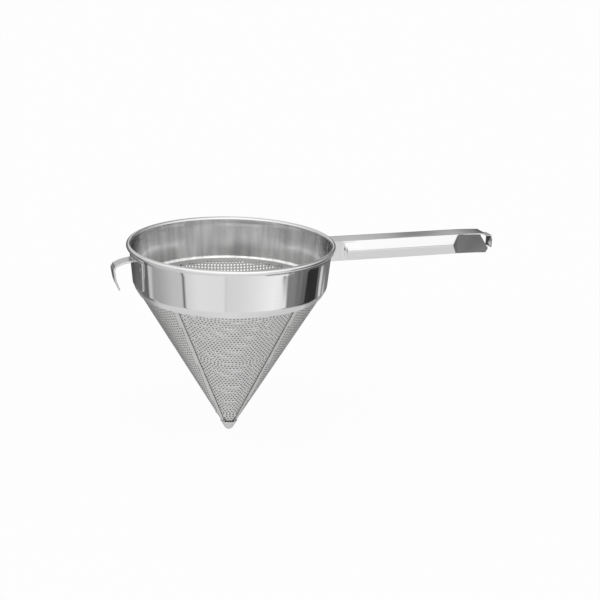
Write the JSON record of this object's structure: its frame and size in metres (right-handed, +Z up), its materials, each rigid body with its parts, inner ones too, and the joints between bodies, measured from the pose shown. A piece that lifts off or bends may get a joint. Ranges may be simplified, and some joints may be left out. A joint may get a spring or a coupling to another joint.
{
  "type": "chinois strainer",
  "caption": "Conical kitchen strainer of sheet steel with a polished rim band, perforated cone panels, a plain domed tip, a pressed channel handle and a rest hook.",
  "frame": {"origin": "on the cone's axis, in the middle plane of the rolled rim", "axes": "+Z up along the cone's axis, out of the mouth; +X along the handle, away from the band; the rest hook is at -X"},
  "size_m": [0.4002, 0.2046, 0.199],
  "materials": {
    "polished": "mirror-polished stainless steel",
    "satin": "satin stainless steel sheet",
    "weld": "dull weld metal"
  },
  "bodies": {
    "root": {"band": "polished", "rim_wire": "satin", "panel_front": "satin", "panel_back": "satin", "panel_handle_side": "satin", "panel_hook_side": "satin", "tip_cup": "satin", "handle": "polished", "hook": "satin", "handle_welds": "weld", "hook_welds": "weld", "tip_tacks": "weld"}
  },
  "joints": []
}
